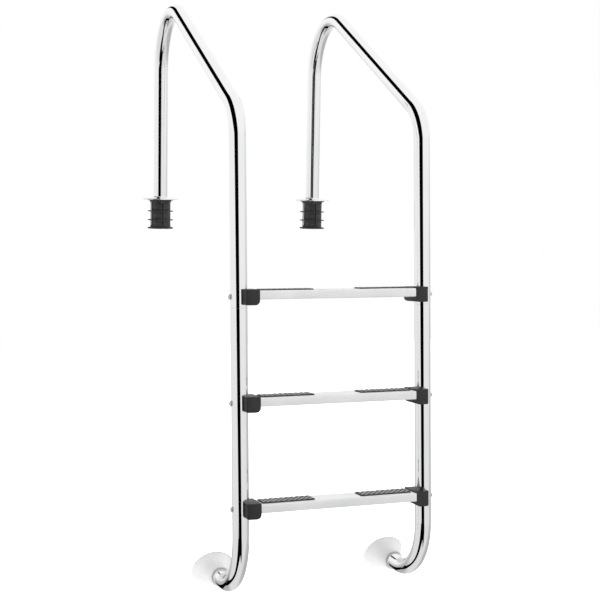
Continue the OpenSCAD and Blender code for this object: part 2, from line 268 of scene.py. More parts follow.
def noise(tree, scale, stretch=(1, 1, 1), detail=3.0):
    """Noise in object space, in features per metre, stretched along an axis where its factor is below 1."""
    coords = add(tree, "ShaderNodeTexCoord")
    mapping = add(tree, "ShaderNodeMapping", Scale=stretch)
    texture = add(tree, "ShaderNodeTexNoise", Scale=scale, Detail=detail)
    tree.links.new(coords.outputs["Object"], mapping.inputs["Vector"])
    tree.links.new(mapping.outputs["Vector"], texture.inputs["Vector"])
    return texture.outputs["Fac"]


def vary(tree, factor, low, high, target):
    """Drives a socket between two numbers or two colours with a 0 to 1 factor."""
    if isinstance(low, (int, float)):
        node = add(tree, "ShaderNodeMapRange")
        node.inputs["From Min"].default_value = 0.3
        node.inputs["From Max"].default_value = 0.7
        node.inputs["To Min"].default_value = low
        node.inputs["To Max"].default_value = high
        tree.links.new(factor, node.inputs["Value"])
        tree.links.new(node.outputs["Result"], target)
        return
    node = add(tree, "ShaderNodeValToRGB")
    node.color_ramp.elements[0].position = 0.3
    node.color_ramp.elements[1].position = 0.7
    node.color_ramp.elements[0].color = (*low, 1)
    node.color_ramp.elements[1].color = (*high, 1)
    tree.links.new(factor, node.inputs["Fac"])
    tree.links.new(node.outputs["Color"], target)


def bump(tree, height, distance, strength, shader):
    node = add(tree, "ShaderNodeBump", Distance=distance, Strength=strength)
    tree.links.new(height, node.inputs["Height"])
    tree.links.new(node.outputs["Normal"], shader.inputs["Normal"])


def polished_steel():
    """Mirror-polished stainless steel with faint handling marks."""
    material, tree, shader = new_material("polished_steel")
    shader.inputs["Metallic"].default_value = 1.0
    vary(tree, noise(tree, 9), (0.86, 0.865, 0.87), (0.90, 0.90, 0.90), shader.inputs["Base Color"])
    vary(tree, noise(tree, 12), 0.03, 0.05, shader.inputs["Roughness"])
    return material


def satin_steel():
    """Stainless sheet, brushed along the step."""
    material, tree, shader = new_material("satin_steel")
    shader.inputs["Metallic"].default_value = 1.0
    grain = noise(tree, 900, (0.02, 1, 1), 5.0)
    vary(tree, noise(tree, 14), (0.80, 0.805, 0.81), (0.88, 0.88, 0.88), shader.inputs["Base Color"])
    vary(tree, grain, 0.24, 0.38, shader.inputs["Roughness"])
    bump(tree, grain, 0.00004, 0.25, shader)
    return material


def plain_steel():
    """Mill-finish stainless steel, for hidden pieces."""
    material, tree, shader = new_material("plain_steel")
    shader.inputs["Metallic"].default_value = 1.0
    vary(tree, noise(tree, 40), (0.50, 0.505, 0.51), (0.62, 0.62, 0.62), shader.inputs["Base Color"])
    vary(tree, noise(tree, 200), 0.3, 0.5, shader.inputs["Roughness"])
    return material


def fastener_steel():
    """Bright turned stainless steel."""
    material, tree, shader = new_material("fastener_steel")
    shader.inputs["Metallic"].default_value = 1.0
    vary(tree, noise(tree, 80), (0.70, 0.705, 0.71), (0.82, 0.82, 0.82), shader.inputs["Base Color"])
    vary(tree, noise(tree, 500), 0.10, 0.2, shader.inputs["Roughness"])
    bump(tree, noise(tree, 2500), 0.00003, 0.2, shader)
    return material


def moulded_plastic(name, dark, light, rough, grain, specular):
    """Moulded plastic with a fine spark-eroded grain and slight mottling."""
    material, tree, shader = new_material(name)
    shader.inputs["Specular IOR Level"].default_value = specular
    vary(tree, noise(tree, 22), dark, light, shader.inputs["Base Color"])
    vary(tree, noise(tree, 70, detail=6.0), rough - 0.06, rough + 0.06, shader.inputs["Roughness"])
    bump(tree, noise(tree, 2600, detail=2.0), grain, 0.35, shader)
    return material


def shaded_underside_steel():
    """Unpolished inside of a pressed plate, coloured dark as painted shade for its hollow."""
    material, tree, shader = new_material("shaded_underside_steel")
    shader.inputs["Metallic"].default_value = 1.0
    vary(tree, noise(tree, 70), (0.13, 0.13, 0.135), (0.21, 0.21, 0.215), shader.inputs["Base Color"])
    vary(tree, noise(tree, 240), 0.4, 0.6, shader.inputs["Roughness"])
    return material


STEEL = polished_steel()
# The escutcheon's hollow underside: rougher steel, coloured dark as painted shade.
SHADED_UNDERSIDE = shaded_underside_steel()
SATIN = satin_steel()
PLAIN = plain_steel()
BRIGHT = fastener_steel()
BRACKET = moulded_plastic("bracket_plastic", (0.012, 0.012, 0.013), (0.018, 0.018, 0.019), 0.42, 0.00005, 0.3)
GRIP = moulded_plastic("grip_pad", (0.030, 0.030, 0.032), (0.045, 0.045, 0.047), 0.62, 0.00012, 0.3)
# A lighter copy of the grip plastic for the raised ribs: their lighter colour is painted light.
LIT_GRIP_RIB = moulded_plastic("lit_grip_rib", (0.22, 0.22, 0.225), (0.30, 0.30, 0.305), 0.6, 0.00012, 0.4)
ANCHOR = moulded_plastic("anchor_plastic", (0.024, 0.024, 0.026), (0.036, 0.036, 0.038), 0.5, 0.00006, 0.35)
BUMPER = moulded_plastic("bumper_rubber", (0.66, 0.66, 0.655), (0.71, 0.71, 0.705), 0.42, 0.00004, 0.5)


# ---------------------------------------------------------------- rails
def arc(centre, r, start, turn, step=2.0):
    """Points and tangents of an arc in the YZ plane."""
    count = max(2, round(abs(turn) / step))
    sign = 1 if turn > 0 else -1
    angles = [start + turn * i / count for i in range(count + 1)]
    return [(centre + polar(r, a), polar(sign, a + 90)) for a in angles]


def line(start, end, pieces=4):
    tangent = (end - start).normalized()
    return [(start.lerp(end, i / pieces), tangent) for i in range(pieces + 1)]


def rail_tube(side, stations, turns=96, chamfer=0.25 * MM):
    """Sweeps a tube wall along (y, z) points with tangents, with a small chamfer at both ends."""
    bm = bmesh.new()
    inner = TUBE_R - TUBE_WALL
    outside = [(p, t, TUBE_R) for p, t in stations]
    outside[0] = (*outside[0][:2], TUBE_R - chamfer)
    outside[-1] = (*outside[-1][:2], TUBE_R - chamfer)
    outside.insert(1, (stations[0][0] + stations[0][1] * chamfer, stations[0][1], TUBE_R))
    outside.insert(-1, (stations[-1][0] - stations[-1][1] * chamfer, stations[-1][1], TUBE_R))
    loop = outside + [(p, t, inner) for p, t in reversed(stations)]
    rings = []
    for point, tangent, r in loop:
        centre = Vector((side * HALF_SPACING, point.x, point.y))
        along = Vector((0, tangent.x, tangent.y))
        across = Vector((1, 0, 0))
        normal = along.cross(across)
        angles = (2 * math.pi * i / turns for i in range(turns))
        spokes = (math.cos(a) * across + math.sin(a) * normal for a in angles)
        rings.append([bm.verts.new(centre + r * spoke) for spoke in spokes])
    return skin(bm, rings)


def unique_stations(*runs):
    """Joins runs end to end without repeating the shared point."""
    stations = list(runs[0])
    for run in runs[1:]:
        stations += run[1:]
    return stations


def upper_rail(side_name):
    down = polar(1, LEG_SPLAY - 90)
    leg_top = -LEG_LENGTH * down
    top_centre = leg_top - polar(TOP_BEND_R, LEG_SPLAY)
    turn = 180 - LEG_SPLAY - SLOPE_ANGLE
    high = top_centre + polar(TOP_BEND_R, 180 - SLOPE_ANGLE)
    low = high + polar(SLOPE_LENGTH, 270 - SLOPE_ANGLE)
    bend_centre = low + polar(UPRIGHT_BEND_R, -SLOPE_ANGLE)
    stations = unique_stations(
        line(LEG_BELOW_DECK * down, leg_top),
        arc(top_centre, TOP_BEND_R, LEG_SPLAY, turn),
        line(high, low),
        arc(bend_centre, UPRIGHT_BEND_R, 180 - SLOPE_ANGLE, SLOPE_ANGLE),
        line(Vector((FRONT_Y, bend_centre.y)), Vector((FRONT_Y, JOINT_Z))),
    )
    bm = rail_tube(SIDES[side_name], stations)
    nodes = [f"upper_rail_{side_name}"]
    finish_piece(f"rail_upper_{side_name}", bm, STEEL, "ladder", nodes)


def lower_rail(side_name):
    centre = Vector((FRONT_Y + FOOT_BEND_R, FOOT_START_Z))
    end = centre + polar(FOOT_BEND_R, 180 + FOOT_ANGLE)
    stations = unique_stations(
        line(Vector((FRONT_Y, JOINT_Z - JOINT_GAP)), Vector((FRONT_Y, FOOT_START_Z))),
        arc(centre, FOOT_BEND_R, 180, FOOT_ANGLE),
        line(end, end + polar(FOOT_STRAIGHT + FOOT_IN_BUMPER, FOOT_ANGLE - 90)),
    )
    bm = rail_tube(SIDES[side_name], stations)
    nodes = [f"lower_rail_{side_name}"]
    finish_piece(f"rail_lower_{side_name}", bm, STEEL, "ladder", nodes)


for side_name in SIDES:
    upper_rail(side_name)
    lower_rail(side_name)

# ---------------------------------------------------------------- steps
TREAD_HALF = HALF_SPACING - 40 * MM
TREAD_FRONT, TREAD_BACK = -48 * MM, 27 * MM
TREAD_TOP = 16 * MM
TREAD_BOTTOM = TREAD_TOP - 22 * MM
TREAD_RETURN = 10 * MM
SHEET = 1.5 * MM
PAD_LENGTH, PAD_WIDTH, PAD_GAP = 139 * MM, 48 * MM, 126 * MM
PAD_FRONT = -32 * MM
PAD_BASE, PAD_RIB = 2 * MM, 1.2 * MM
PEG_R, PEG_LENGTH = 3 * MM, 5 * MM
PEG_INSET, PEG_OUTER_INSET = 12 * MM, 28 * MM
RIB_PITCH, RIB_WIDTH, RIB_ANGLE = 14 * MM, 5.5 * MM, 50
REACH = 40 * MM
BRACKET_TOP, BRACKET_BOTTOM = 19 * MM, -20 * MM
BRACKET_FRONT, BRACKET_BACK = -44 * MM, 29 * MM
BRACKET_OUTER = 3.5 * MM
NUT_AT, NUT_T, NUT_FLATS = 48 * MM, 6.5 * MM, 13 * MM


def tread(level):
    """Folded sheet channel, open below, with its lips turned in."""
    front, back, top, bottom, t = TREAD_FRONT, TREAD_BACK, TREAD_TOP, TREAD_BOTTOM, SHEET
    outline = [
        (front + TREAD_RETURN, bottom), (front, bottom), (front, top),
        (back, top), (back, bottom), (back - TREAD_RETURN, bottom),
        (back - TREAD_RETURN, bottom + t), (back - t, bottom + t), (back - t, top - t),
        (front + t, top - t), (front + t, bottom + t), (front + TREAD_RETURN, bottom + t),
    ]
    outer, inner = 3 * MM, 1.5 * MM
    radii = [0, 2 * MM, outer, outer, 2 * MM, 0, 0, 0.5 * MM, inner, inner, 0.5 * MM, 0]
    bm = prism(rounded(outline, radii, 8), -TREAD_HALF, TREAD_HALF, "X")
    bevel(bm, 0.2 * MM, 1)
    place = Matrix.Translation((0, FRONT_Y, step_z(level)))
    finish_piece(f"step_tread_{level}", bm, SATIN, "ladder", [f"tread_{level}"], place)


def clip(outline, normal, offset):
    """The part of a convex outline where the dot product with normal is at least offset."""
    kept = []
    for i, here in enumerate(outline):
        ahead = outline[(i + 1) % len(outline)]
        a, b = here.dot(normal) - offset, ahead.dot(normal) - offset
        if a >= 0:
            kept.append(here)
        if a * b < 0:
            kept.append(here.lerp(ahead, a / (a - b)))
    return kept


def pad(level, side_name):
    """Grip pad: a thin plate with raised diagonal ribs, and four snap pegs below."""
    inset = 2 * MM
    corners = [(0, 0), (PAD_LENGTH, 0), (PAD_LENGTH, PAD_WIDTH), (0, PAD_WIDTH)]
    bm = prism(rounded(corners, 2.5 * MM), 0, PAD_BASE)
    bevel(bm, 0.5 * MM)
    field = [(inset, inset), (PAD_LENGTH - inset, inset)]
    field += [(PAD_LENGTH - inset, PAD_WIDTH - inset), (inset, PAD_WIDTH - inset)]
    normal = polar(1, RIB_ANGLE + 90)
    step = RIB_PITCH * math.sin(math.radians(RIB_ANGLE))
    ribs = bmesh.new()
    for i in range(-20, 8):
        start = i * step
        strip = clip([Vector(p) for p in field], normal, start)
        strip = clip(strip, -normal, -start - RIB_WIDTH) if len(strip) > 2 else []
        if len(strip) > 2:
            rib = prism(strip, PAD_BASE - 0.5 * MM, PAD_BASE + PAD_RIB)
            bevel(rib, 0.4 * MM)
            join(ribs, rib)
    side = SIDES[side_name]
    start = PAD_GAP / 2 if side > 0 else -PAD_GAP / 2 - PAD_LENGTH
    place = Matrix.Translation((start, FRONT_Y + PAD_FRONT, step_z(level) + TREAD_TOP))
    low_inset, high_inset = (PEG_INSET, PEG_OUTER_INSET) if side > 0 else (PEG_OUTER_INSET, PEG_INSET)
    for x in (low_inset, PAD_LENGTH - high_inset):
        for y in (PEG_INSET, PAD_WIDTH - PEG_INSET):
            cylinder(PEG_R, -PEG_LENGTH, 0, 24, Matrix.Translation((x, y, 0)), bm)
    name = f"{level}_{side_name}"
    # The raised ribs take the lighter copy of the grip plastic, as painted light on them.
    for piece, shape, material in (("pad", bm, GRIP), ("ribs", ribs, LIT_GRIP_RIB)):
        finish_piece(f"step_{piece}_{name}", shape, material, "ladder", [f"pad_{name}"], place)


def bracket_shape():
    """Moulded end bracket: saddle, block and tongue, with its edges rounded."""
    face = [
        (REACH, BRACKET_TOP), (BRACKET_OUTER, BRACKET_TOP),
        (BRACKET_OUTER, BRACKET_BOTTOM), (REACH, BRACKET_BOTTOM),
    ]
    turn = Matrix.Rotation(math.radians(90), 4, "X")
    block = prism(rounded(face, [0.01 * MM, 0.01 * MM, 5 * MM, 12 * MM], 10), -60 * MM, 60 * MM, place=turn)
    plan = [
        (BRACKET_OUTER, BRACKET_FRONT), (REACH * 0.5, TREAD_FRONT + 1 * MM), (REACH, TREAD_FRONT),
        (REACH, BRACKET_BACK), (BRACKET_OUTER, BRACKET_BACK),
    ]
    plan = rounded(plan, [3 * MM, 0, 1 * MM, 1 * MM, 2 * MM])
    bm = combine(block, prism(plan, -30 * MM, 30 * MM), "INTERSECT")
    bevel(bm, 0.9 * MM, 3, 40)
    gap = 0.6 * MM
    y0, y1 = TREAD_FRONT + SHEET + gap, TREAD_BACK - SHEET - gap
    z0, z1 = TREAD_BOTTOM + SHEET + gap, TREAD_TOP - SHEET - gap
    tongue_start, tongue_end = REACH - 2 * MM, REACH + 30 * MM
    tongue = prism([(y0, z0), (y1, z0), (y1, z1), (y0, z1)], tongue_start, tongue_end, "X")
    bevel(tongue, 0.6 * MM)
    bm = combine(bm, tongue, "UNION")
    bm = combine(bm, cylinder(TUBE_R + RUNNING_GAP, -50 * MM, 50 * MM, 96), "DIFFERENCE")
    across = Matrix.Rotation(math.radians(90), 4, "Y")
    bm = combine(bm, cylinder(4.3 * MM, 0, 100 * MM, 32, across), "DIFFERENCE")
    half, low, high = NUT_FLATS / 2 + 0.2 * MM, -50 * MM, NUT_FLATS * 0.58 + 0.3 * MM
    slack = 0.4 * MM
    outline = [(-half, low), (half, low), (half, high), (-half, high)]
    pocket = prism(outline, NUT_AT - slack, NUT_AT + NUT_T + slack, "X")
    return combine(bm, pocket, "DIFFERENCE")


def hexagon(flats):
    return [polar(flats / math.sqrt(3), 30 + 60 * i) for i in range(6)]


def bolt_shape():
    """Socket button-head bolt along X, its shank from the rail's outside inwards."""
    seat, r, h = TUBE_R + 1.45 * MM, 6.5 * MM, 4.5 * MM
    shank_r, tip_r, tip = 4 * MM, 3.4 * MM, seat + 56 * MM
    angles = [math.radians(a) for a in range(10, 90, 8)]
    dome = [(0, -h)] + [(r * math.sin(a), -h * math.cos(a) ** 0.8) for a in angles]
    rim = [(r, -0.35 * MM), (r - 0.3 * MM, 0)]
    shank = [(shank_r, 0), (shank_r, seat + 55 * MM), (tip_r, tip), (0, tip)]
    bm = lathe(dome + rim + shank, 64)
    bm = combine(bm, prism(hexagon(5 * MM), -h - 1 * MM, -h + 2.5 * MM), "DIFFERENCE")
    bm.transform(Matrix.Rotation(math.radians(90), 4, "Y") @ Matrix.Translation((0, 0, -seat)))
    return bm


def washer_shape():
    """Washer curved to sit on the rail."""
    outline = [(4.1, 0), (7.5, 0), (7.5, 1.1), (7.2, 1.4), (4.4, 1.4), (4.1, 1.1)]
    bm = lathe([(r * MM, h * MM) for r, h in outline], 64)
    for v in bm.verts:
        rail_r = TUBE_R + 0.02 * MM + v.co.z
        v.co = Vector((-math.sqrt(rail_r ** 2 - v.co.y ** 2), v.co.y, v.co.x))
    return bm


def nut_shape():
    """Hexagon nut with chamfered corners, along X."""
    bm = prism(hexagon(NUT_FLATS), 0, NUT_T)
    corner = NUT_FLATS / math.sqrt(3)
    chamfer = 0.9 * MM
    wide, drop = corner + 0.2 * MM, chamfer * 0.7
    cone = [
        (0, 0), (corner - chamfer, 0), (wide, drop),
        (wide, NUT_T - drop), (corner - chamfer, NUT_T), (0, NUT_T),
    ]
    bm = combine(bm, lathe(cone, 48), "INTERSECT")
    bm = combine(bm, cylinder(4.05 * MM, -1 * MM, NUT_T + 1 * MM, 48), "DIFFERENCE")
    bm.transform(Matrix.Translation((NUT_AT, 0, 0)) @ Matrix.Rotation(math.radians(90), 4, "Y"))
    return bm


def at_every_step(shape):
    """Copies of a shape at each end of each step."""
    bm = bmesh.new()
    for side in SIDES.values():
        for level in LEVELS:
            copy = shape.copy()
            copy.transform(step_frame(side, step_z(level)))
            if side > 0:
                bmesh.ops.reverse_faces(copy, faces=copy.faces)
            join(bm, copy)
    shape.free()
    return bm


def steps():
    shape = bracket_shape()
    for level in LEVELS:
        tread(level)
        for side_name, side in SIDES.items():
            pad(level, side_name)
            place = step_frame(side, step_z(level))
            name = f"{level}_{side_name}"
            nodes = [f"bracket_{name}"]
            finish_piece(f"step_bracket_{name}", shape.copy(), BRACKET, "ladder", nodes, place)
    shape.free()
    for name, bm in (("bolts", bolt_shape()), ("nuts", nut_shape())):
        finish_piece(f"all_{name}", at_every_step(bm), BRIGHT, "ladder", [f"step_{name}"])
    washers = at_every_step(washer_shape())
    finish_piece("all_washers", washers, BRIGHT, "ladder", ["saddle_washers"])


# ---------------------------------------------------------------- deck anchors
ANCHOR_BOTTOM = -90 * MM
SEGMENT_TOP = -9.6 * MM
BODY_R, RIB_R, PANEL_R = 30.5 * MM, 39 * MM, 29 * MM
BORE_R = 22 * MM
WEDGE_LOW, WEDGE_HIGH, WEDGE_LIFT = -89.5 * MM, -74 * MM, 6 * MM
WEDGE_LOW_R, WEDGE_HIGH_R = 28.6 * MM, 23 * MM
SCREW_AT = 27 * MM
SCREW_HEAD_R, SCREW_R, SCREW_HEAD_H = 4.25 * MM, 2.5 * MM, 5 * MM


def escutcheon(side_name):
    """Pressed cover plate with a turned-down rim, a low dome and a short neck."""
    r, neck, h, t = 55 * MM, TUBE_R + RUNNING_GAP, 9 * MM, 1.5 * MM
    turns, dome_steps = 128, 12
    width, rise = r - 3.5 * MM - neck, 4.5 * MM
    dome = []
    for k in range(dome_steps + 1):
        height = 3 * MM + rise * math.sin(math.radians(90 / dome_steps * k))
        dome.append((r - 1 * MM - width * k / dome_steps, height))
    rim = [(r - 0.4 * MM, 0), (r, 0.4 * MM), (r, 2.0 * MM), (r - 0.3 * MM, 2.6 * MM)]
    lip = h - 4 * MM
    top = [(neck + 2 * MM, h - 0.5 * MM), (neck + 1.5 * MM, h), (neck, h), (neck, lip), (neck + 1.8 * MM, lip)]
    hollow = [(a - 0.4 * MM, b - t) for a, b in reversed(dome)]
    profile = rim + dome + top + hollow + [(r - 1.5 * MM, 0)]
    bm = lathe(profile, turns)
    # From the neck's lower edge on, the faces are the unpolished inside, in the second material, whose dark
    # colour is painted shade.
    inside = len(rim + dome) + 3
    for i, face in enumerate(bm.faces):
        face.material_index = 1 if i // turns >= inside else 0
    place = leg_frame(SIDES[side_name])
    node = f"escutcheon_{side_name}"
    obj = finish_piece(f"cover_{side_name}", bm, STEEL, node, [node], place)
    obj.data.materials.append(SHADED_UNDERSIDE)


def collar(side_name):
    """Flanged top ring of the anchor, counterbored for its two screws."""
    r, bore, low, high = 38.5 * MM, TUBE_R + RUNNING_GAP, -9 * MM, -0.3 * MM
    c = 0.7 * MM
    body_r, flange = 32.5 * MM, -3.3 * MM
    outline = [
        (bore, low), (body_r - c, low), (body_r, low + c), (body_r, flange), (r - c, flange), (r, flange + c),
        (r, high - c), (r - c, high), (bore + c, high), (bore, high - c),
    ]
    bm = lathe(outline, 96)
    for a in (0, 180):
        place = Matrix.Rotation(math.radians(a), 4, "Z") @ Matrix.Translation((SCREW_AT, 0, 0))
        bm = combine(bm, cylinder(SCREW_R + 0.05 * MM, -12 * MM, 1 * MM, 32, place), "DIFFERENCE")
        counterbore = cylinder(SCREW_HEAD_R + 0.3 * MM, -SCREW_HEAD_H - 0.7 * MM, 1 * MM, 48, place)
        bm = combine(bm, counterbore, "DIFFERENCE")
    nodes = [f"anchor_collar_{side_name}"]
    place = leg_frame(SIDES[side_name])
    finish_piece(f"anchor_ring_{side_name}", bm, ANCHOR, "ladder", nodes, place)


def segment_outline(outer, panel, inner, x_cut, y_cut):
    """Plan of one quarter: an outer arc with a recessed panel between two borders, and the inner arc back."""
    def end_angles(r):
        return math.degrees(math.asin(y_cut / r)), 90 - math.degrees(math.asin(x_cut / r))

    start, stop = end_angles(outer)
    border = math.degrees(2.6 * MM / BODY_R)
    points = [polar(outer, start), polar(outer, start + border)]
    count = 16
    span = stop - start - 2 * border
    points += [polar(panel, start + border + span * i / count) for i in range(count + 1)]
    points += [polar(outer, stop - border), polar(outer, stop)]
    low, high = end_angles(inner)
    points += [polar(inner, high + (low - high) * i / count) for i in range(count + 1)]
    return points


def segment(side_name, quarter):
    """Ribbed quarter of the anchor's body, with recessed panels between its ribs."""
    slope = (WEDGE_LOW_R - WEDGE_HIGH_R) / (WEDGE_HIGH - WEDGE_LOW)
    cone_top = WEDGE_HIGH + WEDGE_LIFT
    cone_top_r = WEDGE_HIGH_R + 0.9 * MM - slope * WEDGE_LIFT

    def inner(z):
        return max(BORE_R, cone_top_r + slope * (cone_top - z)) if z <= cone_top else BORE_R

    levels = []

    def rib(low, high):
        c = 0.5 * MM
        levels.extend([(low, RIB_R - c, RIB_R - c), (low + c, RIB_R, RIB_R)])
        levels.extend([(high - c, RIB_R, RIB_R), (high, RIB_R - c, RIB_R - c)])

    def panel(low, high):
        c = 1.2 * MM
        levels.extend([(low, BODY_R, BODY_R), (low + c, BODY_R, BODY_R), (low + 2 * c, BODY_R, PANEL_R)])
        levels.extend([(high - 2 * c, BODY_R, PANEL_R), (high - c, BODY_R, BODY_R), (high, BODY_R, BODY_R)])

    rib(ANCHOR_BOTTOM, ANCHOR_BOTTOM + 4 * MM)
    panel(ANCHOR_BOTTOM + 4 * MM, -64.3 * MM)
    rib(-64.3 * MM, -61.7 * MM)
    panel(-61.7 * MM, -37.3 * MM)
    rib(-37.3 * MM, -34.7 * MM)
    panel(-34.7 * MM, SEGMENT_TOP)
    cuts = (2 * MM, 5.5 * MM) if quarter % 2 else (5.5 * MM, 2 * MM)
    bm = bmesh.new()
    rings = []
    for z, outer, panel_r in levels:
        outline = segment_outline(outer, panel_r, inner(z), *cuts)
        rings.append([bm.verts.new((p.x, p.y, z)) for p in outline])
    count = len(rings[0])
    bm.faces.new(rings[0][::-1])
    bm.faces.new(rings[-1])
    for below, above in zip(rings, rings[1:]):
        for i in range(count):
            bm.faces.new((below[i], below[(i + 1) % count], above[(i + 1) % count], above[i]))
    bmesh.ops.remove_doubles(bm, verts=bm.verts, dist=1e-6)
    name = f"{side_name}_{quarter}"
    place = leg_frame(SIDES[side_name]) @ Matrix.Rotation(math.radians(90 * (quarter - 1)), 4, "Z")
    node = f"anchor_segment_{name}"
    finish_piece(f"grip_quarter_{name}", bm, ANCHOR, node, [node], place, 25)


def wedge(side_name):
    """Tapered ring with two lugs, drawn up by the screws."""
    bore, c = TUBE_R + RUNNING_GAP, 0.4 * MM
    outline = [
        (bore, WEDGE_LOW), (WEDGE_LOW_R - c, WEDGE_LOW), (WEDGE_LOW_R, WEDGE_LOW + c),
        (WEDGE_HIGH_R, WEDGE_HIGH), (bore, WEDGE_HIGH),
    ]
    bm = lathe(outline, 96)
    x, y = 31 * MM, 4.5 * MM
    lug = prism([(-x, -y), (x, -y), (x, y), (-x, y)], WEDGE_LOW, WEDGE_LOW + 10 * MM)
    bevel(lug, 0.8 * MM)
    bm = combine(bm, lug, "UNION")
    bm = combine(bm, cylinder(bore, WEDGE_LOW - 5 * MM, 0, 96), "DIFFERENCE")
    node = f"anchor_wedge_{side_name}"
    place = leg_frame(SIDES[side_name])
    finish_piece(f"anchor_cone_{side_name}", bm, ANCHOR, node, [node], place)


def screw(side_name, number):
    """Socket cap screw from the collar down to the wedge."""
    base = -SCREW_HEAD_H - 0.6 * MM
    top = base + SCREW_HEAD_H
    c = 0.4 * MM
    tip_c = 0.5 * MM
    outline = [
        (0, top), (SCREW_HEAD_R - c, top), (SCREW_HEAD_R, top - c), (SCREW_HEAD_R, base), (SCREW_R, base),
        (SCREW_R, WEDGE_LOW + tip_c), (SCREW_R - tip_c, WEDGE_LOW), (0, WEDGE_LOW),
    ]
    bm = combine(lathe(outline, 48), prism(hexagon(4 * MM), top - 2.5 * MM, top + 1 * MM), "DIFFERENCE")
    turn = Matrix.Rotation(math.radians(180 * (number - 1)), 4, "Z")
    place = leg_frame(SIDES[side_name]) @ turn @ Matrix.Translation((SCREW_AT, 0, 0))
    name = f"{side_name}_{number}"
    node = f"anchor_screw_{name}"
    finish_piece(f"wedge_screw_{name}", bm, BRIGHT, node, [node], place)


def plug(side_name):
    """Plastic plug in the leg's open end."""
    low, c = -LEG_BELOW_DECK - 2 * MM, 0.6 * MM
    r, plug_r = TUBE_R - 0.3 * MM, TUBE_R - TUBE_WALL - 0.05 * MM
    top = -LEG_BELOW_DECK + 15 * MM
    shoulder = low + 1.95 * MM
    outline = [
        (0, low), (r - c, low), (r, low + c), (r, shoulder),
        (plug_r, shoulder), (plug_r, top - c), (plug_r - c, top), (0, top),
    ]
    nodes = [f"leg_plug_{side_name}"]
    place = leg_frame(SIDES[side_name])
    finish_piece(f"end_plug_{side_name}", lathe(outline, 96), ANCHOR, "ladder", nodes, place)


# ---------------------------------------------------------------- wall bumpers
SLEEVE_R = 28 * MM
BUMPER_R = 57.75 * MM
BUMPER_LENGTH = 80 * MM
FLARE_FROM = 20 * MM
BUMPER_WALL = 5.5 * MM
RIM_TILT = 26.0


def flare_ring(k, inset=0.0):
    """Radius, distance along the tube and tilt of a ring of the flare, from the sleeve (0) to the rim (1)."""
    r = SLEEVE_R + (BUMPER_R - SLEEVE_R) * k ** 1.3 - inset
    return r, FLARE_FROM + (BUMPER_LENGTH - FLARE_FROM) * k, RIM_TILT * k


def bumper(side_name):
    """Trumpet-shaped foot: a sleeve on the tube, opening into a cup whose rim tilts up."""
    bore = TUBE_R + 0.05 * MM
    sleeve = [
        (bore + 0.8 * MM, 0), (SLEEVE_R - 2 * MM, 0), (SLEEVE_R - 0.6 * MM, 0.6 * MM),
        (SLEEVE_R, 2 * MM), (SLEEVE_R, 12 * MM),
    ]
    rings = [(r, z, 0.0) for r, z in sleeve]
    rings += [flare_ring(i / 24) for i in range(1, 24)]
    rim_r = flare_ring(1)[0]
    depth = BUMPER_WALL / 2
    for a in range(0, 181, 20):
        out, ahead = math.cos(math.radians(a)), math.sin(math.radians(a))
        k = 1 - (1 - ahead) * depth / (BUMPER_LENGTH - FLARE_FROM)
        rings.append((rim_r - depth + depth * out, FLARE_FROM + (BUMPER_LENGTH - FLARE_FROM) * k, RIM_TILT))
    rings += [flare_ring(1 - 0.5 * i / 12, BUMPER_WALL) for i in range(2, 12)]
    bottom_r, bottom_z, bottom_tilt = flare_ring(0.5, BUMPER_WALL)
    rings += [(bottom_r - 2 * MM, bottom_z, bottom_tilt), (0, bottom_z, bottom_tilt)]
    rings += [(0, FOOT_IN_BUMPER, 0.0), (bore, FOOT_IN_BUMPER, 0.0), (bore, 0.8 * MM, 0.0)]
    bm = bmesh.new()
    turns = 128
    loops = []
    for r, z, tilt in rings:
        c, s = math.cos(math.radians(tilt)), math.sin(math.radians(tilt))
        if r < ON_AXIS:
            loops.append([bm.verts.new((0, 0, z))] * turns)
            continue
        points = (polar(r, 360 * i / turns) for i in range(turns))
        loops.append([bm.verts.new((p.x, -p.y * c, z - p.y * s)) for p in points])
    skin(bm, loops)
    nodes = [f"bumper_{side_name}"]
    place = foot_frame(SIDES[side_name])
    finish_piece(f"boot_{side_name}", bm, BUMPER, "ladder", nodes, place, 50)


steps()
for side_name in SIDES:
    escutcheon(side_name)
    collar(side_name)
    wedge(side_name)
    plug(side_name)
    bumper(side_name)
    for number in (1, 2):
        screw(side_name, number)
    for quarter in (1, 2, 3, 4):
        segment(side_name, quarter)

# ---------------------------------------------------------------- carried-over CAD nodes
# Only the joint sleeves stay visible as CAD. Every node has the look of its slot all the same.
LOOKS = {
    "polished_steel": STEEL, "satin_steel": SATIN, "plain_steel": PLAIN, "fastener_steel": BRIGHT,
    "bracket_plastic": BRACKET, "grip_pad": GRIP, "anchor_plastic": ANCHOR, "bumper_rubber": BUMPER,
}
NODE_SLOTS = {s["node"]: s["material_slot"] for s in frame["record"]["subparts"]}
for name, obj in frame["nodes"].items():
    obj.data.materials.clear()
    obj.data.materials.append(LOOKS[NODE_SLOTS[name]])

# ---------------------------------------------------------------- studio and camera
FLOOR_DROP, FLOOR_SIZE = 60 * MM, 18.0
CAMERA_ANGLES = (19.48, -2.06, -0.37)  # yaw, pitch and roll, in degrees
CAMERA_PLACE = (-1.1539, FRONT_Y - 3.0098, -0.1735)
LENS, SENSOR = 75.9, 36  # millimetres


